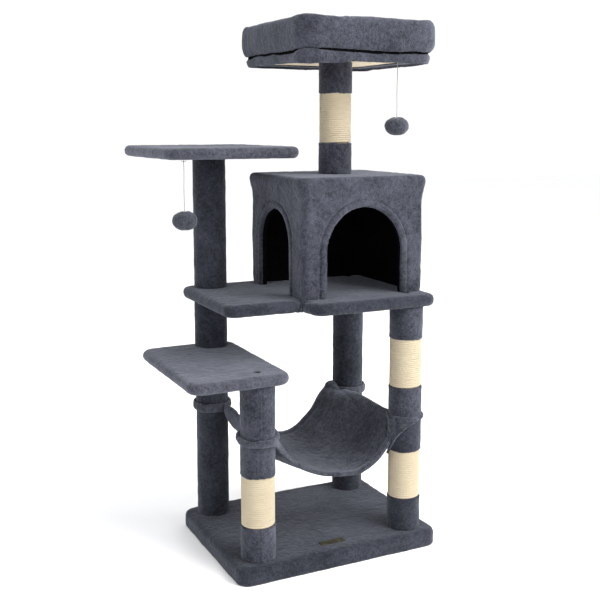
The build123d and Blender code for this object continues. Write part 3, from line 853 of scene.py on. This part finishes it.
def swept(name, line, across, outward, half_wide, half_deep, material, seed, creases, fade=0.0):
    """A soft creased roll that follows a line. Its section is an oval set by two directions.
    It can thin out over its last stretch."""
    line = np.asarray(line, float)
    section = 28
    turn = around(section)
    reach = lengths_along(line)
    fat = 1 + 0.045 * lumps(on_line(reach), 24 * mm, seed)
    if fade:
        fat *= np.clip((reach[-1] - reach) / fade, 0.02, 1) ** 0.6
    wide = half_wide * fat[:, None] * boxy(np.cos(turn), 0.8)
    deep = half_deep * fat[:, None] * boxy(np.sin(turn), 0.8)
    co = line[:, None, :] + across[:, None, :] * wide[..., None] + outward * deep[..., None]
    made = piece(name, co.reshape(-1, 3), tube_faces(len(line), section), material)
    co, out = positions(made), normals(made)
    waves = np.repeat(reach, section) / (9 * mm) * 2 * math.pi + 2 * lumps(co, 15 * mm, seed)
    put(made, co + out * (creases * np.sin(waves))[:, None])
    nap(made, 0.35 * mm, 14 * mm, seed)
    return made


def shade_inner_side(roll, door, first, depth, behind, floor_level):
    """The half of a door roll that looks into the doorway, behind its front, is painted near-black
    as shade.
    """
    co, out = positions(roll), normals(roll)
    spring = floor_level + door["spring"]
    to_middle = np.stack([door["middle"] - co[:, first], np.minimum(spring - co[:, 2], 0)], 1)
    to_middle /= np.linalg.norm(to_middle, axis=1)[:, None]
    facing = out[:, first] * to_middle[:, 0] + out[:, 2] * to_middle[:, 1]
    paint_dark_shade(roll, (facing > 0.25) & (co[:, depth] > behind))


def door_rolls():
    """The padded roll sewn round each doorway."""
    cover_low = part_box("condo_cover")[0]
    proud, roll_depth, shown = 2.5 * mm, 10 * mm, 3.0 * mm
    for name, door, first, depth in doors:
        flat = even_line(arch(door, cover_low.z, roll_centre, 0, 90), 3.2 * mm)
        along = np.gradient(flat, axis=0)
        along /= np.linalg.norm(along, axis=1)[:, None]
        near = cover_low[depth] + overhang - proud
        far = near + roll_depth
        line = np.zeros((len(flat), 3))
        line[:, first], line[:, 2], line[:, depth] = flat[:, 0], flat[:, 1], (near + far) / 2
        across = np.zeros_like(line)
        across[:, first], across[:, 2] = -along[:, 1], along[:, 0]
        axis = np.zeros(3)
        axis[depth] = 1.0
        roll = swept(name, line, across, axis, roll_reach, (far - near) / 2, plush, 61 + first,
                     0.2 * mm)
        # Painted shade on the roll's side that faces into the doorway.
        shade_inner_side(roll, door, first, depth, near + shown, cover_low.z)
        if door is front_door:
            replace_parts(roll, "door_pipings")


# ---- bed -----------------------------------------------------------------------------

def inflate(made, pinned, pressure, stretch, frames=20, cap=7 * mm):
    """Stuffs a closed skin: it swells under pressure while its pinned points stay put."""
    start = positions(made)
    group = made.vertex_groups.new(name="pinned")
    group.add([int(i) for i in np.where(pinned)[0]], 1.0, "REPLACE")
    cloth = made.modifiers.new("cloth", "CLOTH")
    for key, value in (("quality", 6), ("mass", 0.25), ("tension_stiffness", 12),
                       ("compression_stiffness", 8), ("shear_stiffness", 6),
                       ("bending_stiffness", 1.2), ("use_pressure", True),
                       ("uniform_pressure_force", pressure), ("shrink_min", -stretch),
                       ("vertex_group_mass", "pinned")):
        setattr(cloth.settings, key, value)
    cloth.settings.effector_weights.gravity = 0
    cloth.collision_settings.use_collision = False
    cloth.point_cache.frame_start = 1
    cloth.point_cache.frame_end = frames
    scene = bpy.context.scene
    for number in range(1, frames + 1):
        scene.frame_set(number)
    graph = bpy.context.evaluated_depsgraph_get()
    co = positions(made.evaluated_get(graph))
    made.modifiers.clear()
    made.vertex_groups.clear()
    scene.frame_set(1)
    move = co - start
    length = np.linalg.norm(move, axis=1)[:, None]
    put(made, start + move * np.minimum(1, cap / np.maximum(length, 1e-9)))


def band(name, outline, profile, material):
    """A closed section of (inset, height) points carried round an outline."""
    faces = ring_faces(len(profile), len(outline), True)
    return piece(name, stacked(outline, profile), [f[::-1] for f in faces], material)


def crease_rise(co):
    """How far the crease between the bed's rim and its skirt rises or falls, round the bed."""
    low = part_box("bed_bolster")[0]
    from_corner = np.hypot(co[:, 0] - low.x - 34 * mm, co[:, 1] - low.y)
    return 3.6 * mm * lumps(co * [1, 1, 0], 50 * mm, 71) + 8 * mm * hump(from_corner, 46 * mm)


def bolster():
    """The stuffed rim of the bed, fat and boxy, sitting loosely over the board's skirt."""
    low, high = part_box("bed_bolster")
    outline = rectangle(low, high, 58 * mm, bed_spacing)
    width, height, bulge = 74 * mm, high.z - low.z + 2 * mm, 0.60
    turn = around(46)
    profile = [(width / 2 * (1 - out), low.z + height / 2 * (1 + up))
               for out, up in zip(boxy(np.cos(turn), bulge), boxy(np.sin(turn), bulge))]
    made = band("bed_bolster_stuffed", outline, profile, plush)
    co = positions(made)
    inset = np.repeat([p[0] for p in profile], len(outline))
    glued = (co[:, 2] < low.z + 2.5 * mm) & (inset > 20 * mm) & (inset < 60 * mm)
    inflate(made, glued, 4.0, 0.006, cap=3.5 * mm)
    co, away = positions(made), normals(made)
    reach = np.tile(lengths_along(outline), len(profile))
    upward = clip01((co[:, 2] - low.z) / height)
    edge = hump(upward, 0.26) * clip01((20 * mm - inset) / (8 * mm))
    co[:, 2] += edge * (crease_rise(co) - 4.6 * mm)
    wave = 1.8 * mm * lumps(co, 80 * mm, 72) + 0.6 * mm * lumps(co, 28 * mm, 73)
    gathers = reach / (17 * mm) * 2 * math.pi + 5 * lumps(on_line(reach), 45 * mm, 74)
    crease = edge * 0.6 * mm * np.sin(gathers)
    seam = np.zeros(len(co))
    for place in np.percentile(reach, [11, 61]):
        seam -= 1.6 * mm * hump(reach - place, 2.6 * mm)
    loose = np.where(glued, 0, 1)
    co = co + away * ((wave + crease + nap_depth * pile(co, 75) + seam) * loose)[:, None]
    co[:, 2] = np.maximum(co[:, 2], low.z - 11 * mm)
    put(made, co)
    # Painted shade: the rim's underside above the skirt is made near-black, as in a deep crease.
    under = (normals(made)[:, 2] < -0.86) & (co[:, 2] < low.z + 12 * mm)
    paint_dark_shade(made, under & (inset > 12 * mm))
    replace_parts(made, "bed_bolster")


def skirt():
    """The fabric round the edge of the bed's board, turned under it as a hem."""
    low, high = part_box("bed_skirt")
    outline = rectangle(low, high, 48 * mm, bed_spacing)
    cloth, lip, hem = 5 * mm, 4 * mm, 35 * mm
    board_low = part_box("bed_board")[0].z
    groove = high.z - 2.5 * mm
    under = board_low - 3 * mm
    glued = board_low - 0.2 * mm
    profile = [(3.2 * mm, high.z + 3 * mm), (3.2 * mm, groove + 1.0 * mm),
               (1.8 * mm, groove - 1.0 * mm), (-0.6 * mm, groove - 4 * mm),
               (-2.0 * mm, groove - 8 * mm), (-1.4 * mm, (low.z + groove) / 2),
               (0.6 * mm, low.z + 3 * mm), (2.0 * mm, low.z - 0.8 * mm),
               (lip, low.z - 2.6 * mm), (lip + 2.0 * mm, low.z - 2.4 * mm),
               (lip + 3.6 * mm, low.z), (lip + 4.5 * mm, under), (15 * mm, under),
               (25 * mm, board_low - 3.2 * mm), (hem, under), (hem + mm, board_low - 1.5 * mm),
               (hem, glued), (20 * mm, glued), (cloth - 0.2 * mm, glued),
               (cloth - 0.1 * mm, groove), (cloth - 0.1 * mm, high.z + 3 * mm)]
    made = band("bed_skirt_plush", outline, profile, plush)
    subdivided(made)
    co, out = positions(made), normals(made)
    outer = clip01((np.abs(out[:, 0]) + np.abs(out[:, 1]) - 0.5) * 4)
    wave = 1.1 * mm * lumps(co, 38 * mm, 81) + 0.7 * mm * lumps(co, 15 * mm, 82)
    co = co + out * (wave * outer)[:, None]
    drop = 1.6 * mm * lumps(co * [1, 1, 0], 42 * mm, 83) * hump(co[:, 2] - low.z, 5 * mm)
    from_corner = np.hypot(co[:, 0] - low.x, co[:, 1] - low.y)
    lower_edge = clip01((low.z + 12 * mm - co[:, 2]) / (9 * mm))
    drop -= 8.5 * mm * hump(from_corner, 115 * mm) * lower_edge
    near_groove = clip01((co[:, 2] - groove + 14 * mm) / (8 * mm))
    rise = crease_rise(co)
    co[:, 2] += drop + near_groove * np.where(co[:, 2] > high.z, np.maximum(rise, 0), rise)
    put(made, co)
    nap(made, 0.45 * mm, 12 * mm, 84)
    # Painted shade: the skirt's fabric inside the crease under the rim is made near-black.
    paint_dark_shade(made, (past_sides(co, low, high) < -1.2 * mm) & (co[:, 2] > groove - 2.0 * mm + rise))
    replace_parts(made, "bed_skirt")


def pad():
    """The cushion that fills the bed inside its rim."""
    low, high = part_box("bed_pad")
    grow = Vector((9 * mm, 9 * mm, 0))
    outline = rectangle(low - grow, high + grow, 14 * mm, bed_spacing)
    levels = soft_edges(low.z + 0.5 * mm, high.z + 2 * mm, 9 * mm)
    made = piece("bed_cushion", *loft(outline, levels), plush)
    remeshed(made, pad_voxel, 2)
    inflate(made, positions(made)[:, 2] < low.z + 2.5 * mm, 3.0, 0.02, 14)
    subdivided(made)
    co, out = positions(made), normals(made)
    top = clip01((out[:, 2] - 0.3) * 3)
    middle = middle_of("bed_pad")
    away = np.maximum(np.abs(co[:, 0] - middle.x) / (high.x - low.x),
                      np.abs(co[:, 1] - middle.y) / (high.y - low.y))
    dome = 7 * mm * clip01(1 - (away / 0.5) ** 2)
    wave = 1.6 * mm * lumps(co, 60 * mm, 91) + 0.7 * mm * lumps(co, 22 * mm, 92)
    co[:, 2] += top * (dome + wave)
    put(made, co)
    nap(made, nap_depth, 14 * mm, 93)
    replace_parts(made, "bed_pad")


# ---- hammock -------------------------------------------------------------------------

def hang(points, x):
    """A smooth curve through measured places, for the height of an edge."""
    known = np.array(points, float) * mm
    fine = np.linspace(known[0, 0], known[-1, 0], 400)
    return np.interp(x, fine, smoothed(np.interp(fine, known[:, 0], known[:, 1]), 20))


def sheet_faces(rows, columns):
    """Faces of a thick sheet: its top's quads, its bottom's and the rim between them."""
    count = rows * columns
    faces = []
    for r in range(rows - 1):
        for c in range(columns - 1):
            a = r * columns + c
            faces.append((a, a + 1, a + columns + 1, a + columns))
            faces.append((count + a, count + a + columns, count + a + columns + 1, count + a + 1))
    rim = [c for c in range(columns)] + [r * columns + columns - 1 for r in range(1, rows)]
    rim += [(rows - 1) * columns + c for c in range(columns - 2, -1, -1)]
    rim += [r * columns for r in range(rows - 2, 0, -1)]
    return faces + [(b, a, count + a, count + b) for a, b in zip(rim, rim[1:] + rim[:1])]


def hammock():
    """A plush sling that hangs between the four posts and is cut round each of them."""
    low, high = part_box("hammock_sling")
    posts = {name: middle_of(name + "_lower_tube") for name in loop_sizes}
    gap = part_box("front_left_lower_sleeve")[1].x - posts["front_left"].x + 1.5 * mm
    end = high.x - 2 * mm
    rows, columns = 100, 150
    y = np.linspace(low.y + 4 * mm, high.y - 4 * mm, rows)
    left = np.full(rows, -end)
    right = np.full(rows, end)
    for post in posts.values():
        near = np.abs(y - post.y) < gap
        reach = np.sqrt(np.maximum(gap ** 2 - (y - post.y) ** 2, 0))
        if post.x < 0:
            left = np.where(near, np.maximum(left, post.x + reach), left)
        else:
            right = np.where(near, np.minimum(right, post.x - reach), right)
    left = smoothed(left, 3, mode="edge")
    right = smoothed(right, 3, mode="edge")

    # u runs from the left end to the right one, v from the front hem to the back one
    u = np.linspace(0, 1, columns)
    v = ((y - y[0]) / (y[-1] - y[0]))[:, None]
    x = left[:, None] * (1 - u) + right[:, None] * u
    blend = v * v * (3 - 2 * v)
    z = hang(hammock_front, x) * (1 - blend) + hang(hammock_back, x) * blend
    z -= 7 * mm * np.sin(math.pi * u)[None, :] * np.sin(math.pi * v)
    deep_end = (1 - np.exp(-u / 0.03)) * clip01(1 - u / 0.36)
    z -= 46 * mm * deep_end[None, :] * np.minimum(1.5 * np.sin(math.pi * v), 1)
    raised = 6 * mm + 14 * mm * np.minimum(1.6 * np.sin(math.pi * v), 1) * (1 - v)
    z += raised * clip01((u - 0.8) / 0.2)[None, :]
    flat = np.stack([x, np.repeat(y[:, None], columns, 1), z], 2).reshape(-1, 3)
    fold = 1.5 * mm * lumps(flat * [0.5, 1, 0.3], 46 * mm, 101)
    for number, (name, post) in enumerate(posts.items()):
        dx, dy = flat[:, 0] - post.x, flat[:, 1] - post.y
        away = np.hypot(dx, dy)
        fan = np.sin(np.arctan2(dy, dx) * 9 + number + 1.5 * lumps(flat, 60 * mm, 103 + number))
        fold += 3.0 * mm * fan * np.exp(-(away - gap) / (55 * mm))
        if name == "rear_right":
            before = clip01((post.y - flat[:, 1]) / (0.6 * gap))
            fold -= 26 * mm * before * np.exp(-np.maximum(away - gap, 0) / (20 * mm))
    surface = (flat + np.array([0, 0, 1]) * fold[:, None]).reshape(rows, columns, 3)
    up = np.cross(np.gradient(surface, axis=1), np.gradient(surface, axis=0))
    up /= np.linalg.norm(up, axis=2)[..., None]

    # half the cloth's thickness: fuller at the hems and rolled at the two ends
    from_edge = np.minimum(y - y[0], y[-1] - y)[:, None] * np.ones(columns)
    hem, end_roll = 22 * mm, 26 * mm
    half = 3.3 * mm + 2.2 * mm * clip01((hem - from_edge) / (6 * mm))
    half -= 1.4 * mm * hump(from_edge - hem, 2.5 * mm)
    rounded = np.sqrt(np.maximum(from_edge * 11 * mm - from_edge ** 2, 0)) + 1.2 * mm
    half = np.minimum(half, np.where(from_edge > 5.5 * mm, half, rounded))
    from_end = np.minimum(x - left[:, None], right[:, None] - x)
    rolled = np.sqrt(clip01(1 - ((from_end - end_roll / 2) / (end_roll / 2)) ** 2))
    half += 5.6 * mm * rolled * np.where(u > 0.5, clip01(v * 2.5 - 0.4), 1)
    top = (surface + up * half[..., None]).reshape(-1, 3)
    bottom = (surface - up * half[..., None]).reshape(-1, 3)
    made = piece("hammock_cloth", np.concatenate([top, bottom]), sheet_faces(rows, columns),
                 plush_hammock)
    remeshed(made, hammock_voxel, 3)
    nap(made, 0.45 * mm, 13 * mm, 105)
    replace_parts(made, "hammock_sling")
    return made


def left_strap():
    """The front hem of the hammock leaves the front left loop from the post's right side."""
    post = middle_of("front_left_lower_tube")
    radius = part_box("front_left_lower_sleeve")[1].x - post.x + 4.0 * mm
    # degrees round the post, then mm beyond the radius and the height in mm
    stations = [(-112, 0, 339), (-80, 0, 338), (-52, 0, 334), (-26, 1, 324), (-17, 8, 311),
                (-13, 20, 294), (-10, 42, 271)]
    known = np.array([(post.x + (radius + beyond * mm) * math.cos(math.radians(degrees)),
                       post.y + (radius + beyond * mm) * math.sin(math.radians(degrees)), z * mm)
                      for degrees, beyond, z in stations])
    line = even_line(known, 2.2 * mm)
    line = np.stack([smoothed(line[:, axis], 5) for axis in range(3)], 1)
    facing = np.maximum(np.arctan2(line[:, 1] - post.y, line[:, 0] - post.x), -math.pi)
    away = level_way(np.minimum(facing, math.radians(-50)))
    across = np.cross(np.gradient(line, axis=0), away)
    across /= np.linalg.norm(across, axis=1)[:, None]
    return swept("front_left_strap", line, across, away[:, None, :], 8.5 * mm, 5.0 * mm,
                 plush_hammock, 161, 0.3 * mm, fade=48 * mm)


def right_flap():
    """The hammock's corner laps over the front right post: its hem sweeps up to the loop."""
    post = middle_of("front_right_lower_tube")
    sleeve_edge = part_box("front_right_lower_sleeve")[1].x - post.x
    # degrees round the post, and the hem's height in mm
    stations = [(160, 232), (178, 250), (195, 268), (214, 292), (230, 307), (252, 320.5),
                (277, 329), (312, 335), (336, 337)]
    degrees = np.linspace(166, 330, 130)
    known = np.array(stations, float)
    hem = smoothed(np.interp(degrees, known[:, 0], known[:, 1]) * mm, 7)
    angle = np.radians(degrees)
    girth = on_line(angle * 45 * mm)
    hem += 0.9 * mm * lumps(girth, 9 * mm, 171)
    top = (345 * mm + 1.5 * mm * np.cos(angle - math.radians(237)))[:, None]
    hem = hem[:, None]
    downward = np.linspace(0, 1, 34)
    rise = top + (hem - top) * downward
    over_hem = rise - hem
    skin = 3.4 * mm + 2.6 * mm * hump(over_hem - 4.5 * mm, 3.4 * mm)
    skin -= 1.2 * mm * hump(over_hem - 11 * mm, 2.4 * mm)
    skin *= (np.sqrt(clip01(over_hem / (3.0 * mm)))
             * np.sqrt(clip01((top - rise) / (3.0 * mm) + 0.15)))
    pull = girth[:, None, :] + np.stack([0.9 * rise, 0.35 * rise, 0 * rise], 2)
    folds = lumps(pull.reshape(-1, 3), 8 * mm, 172).reshape(rise.shape)
    skin += 0.8 * mm * folds * clip01(downward * 3)
    inner_rise = top + (hem - top) * np.array([0.9, 0.5, 0.1])
    inner_radius = np.full_like(inner_rise, sleeve_edge - 1.5 * mm)
    radius = np.concatenate([sleeve_edge + np.maximum(skin, 0.3 * mm), inner_radius], 1)
    height = np.concatenate([rise, inner_rise], 1)
    made = piece("front_right_flap", turned(post, angle[:, None], radius, height),
                 tube_faces(len(angle), radius.shape[1], flip=True), plush_hammock)
    nap(made, 0.3 * mm, 9 * mm, 173)
    return made


def loops():
    """The gathered bands that hold the hammock to its posts."""
    bands = []
    section, columns = 30, 150
    turn, angle = around(section), around(columns)
    ring = level_way(angle) * 60 * mm
    for number, (name, (level, half_high, half_deep)) in enumerate(loop_sizes.items()):
        post = middle_of(name + "_lower_tube")
        sleeve_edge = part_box(name + "_lower_sleeve")[1].x - post.x
        wave = lumps(ring, 22 * mm, 111 + number)
        deep = half_deep * (1 + 0.16 * wave)[:, None] * np.cos(turn)
        tall = half_high * (1 + 0.12 * lumps(ring, 30 * mm, 121 + number))[:, None]
        tilt = 6.0 * mm if name == "front_left" else 1.5 * mm
        slope = tilt * np.cos(angle - 1.2) + 1.2 * mm * wave
        gathers = angle[:, None] * 13 + 1.6 * np.sin(turn) + 5 * wave[:, None]
        pleat = 0.55 * mm * np.sin(gathers) * clip01(np.cos(turn)) ** 0.5
        away = sleeve_edge + half_deep - 0.8 * mm + deep + pleat
        height = level + slope[:, None] + tall * boxy(np.sin(turn), 0.8)
        made = piece(name + "_loop", turned(post, angle[:, None], away, height),
                     ring_faces(columns, section, True), plush_hammock)
        nap(made, 0.4 * mm, 9 * mm, 131 + number)
        bands.append(made)
    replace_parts(bands[0], "hammock_loops")
    return bands


# ---- hanging toys --------------------------------------------------------------------

def ball(body, seed):
    """A stuffed pompom: squashed, gathered into pleats under its cord, with an uneven pile."""
    node = body + "_ball"
    low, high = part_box(node)
    rings, columns = 60, 110
    polar = np.repeat(np.linspace(0.03, math.pi - 0.03, rings), columns)
    angle = np.tile(around(columns), rings)
    level = np.sin(polar)
    unit = np.stack([level * np.cos(angle), level * np.sin(angle), np.cos(polar)], 1)
    co = unit * np.array((high - low) / 2) * 0.985
    co[:, 2] *= 1 + 0.02 * unit[:, 0]
    bend = 0.7 * lumps(unit, 0.8, seed)
    pleat = -2.0 * mm * np.abs(np.sin(angle * 4.5 + bend)) ** 0.5 * hump(polar - 0.42, 0.42)
    pleat -= 1.2 * mm * hump(math.pi - polar - 0.15, 0.25)
    dimple = -3.0 * mm * hump(polar, 0.2)
    fuzz = 0.75 * mm * lumps(co, 6.5 * mm, seed + 1) + 0.55 * mm * lumps(co, 2.8 * mm, seed + 2)
    co = co + unit * (pleat + dimple + fuzz + 0.9 * mm * lumps(co, 20 * mm, seed + 3))[:, None]
    co += np.array(middle_of(node))
    made = piece(node + "_stuffed", co, tube_faces(rings, columns, flip=True), plush_ball, body)
    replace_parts(made, node)
    return made


def hanging_cord(body, stuffed):
    """The thin cord from the staple down into the ball: one open curve."""
    node = body + "_cord"
    low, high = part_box(node)
    middle = middle_of(node)
    diameter = high.x - low.x
    length = high.z - low.z
    curve = bpy.data.curves.new(node + "_line", "CURVE")
    curve.dimensions = "3D"
    curve.bevel_depth = diameter / 2
    curve.bevel_resolution = 4
    spline = curve.splines.new("NURBS")
    count = 9
    spline.points.add(count - 1)
    for i in range(count):
        part = i / (count - 1)
        bow = 0.5 * mm * math.sin(part * math.pi) * math.sin(part * 9)
        spline.points[i].co = (middle.x + bow, middle.y - 0.6 * bow, high.z - part * length, 1)
    spline.order_u = 3
    spline.use_endpoint_u = True
    curve.materials.append(cord_white)
    made = add_object(node + "_line", curve)
    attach(made, body)
    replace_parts(made, node)


# ---- everything, in order ------------------------------------------------------------

make_camera()
for body, seed in (("bed_toy", 141), ("perch_toy", 151)):
    hanging_cord(body, ball(body, seed))
make_studio()
paint_cad_nodes()
dress_posts()
dress_boards()
condo_shell()
door_rolls()
bolster()
skirt()
pad()
sling = hammock()
bands = loops() + [left_strap(), right_flap()]
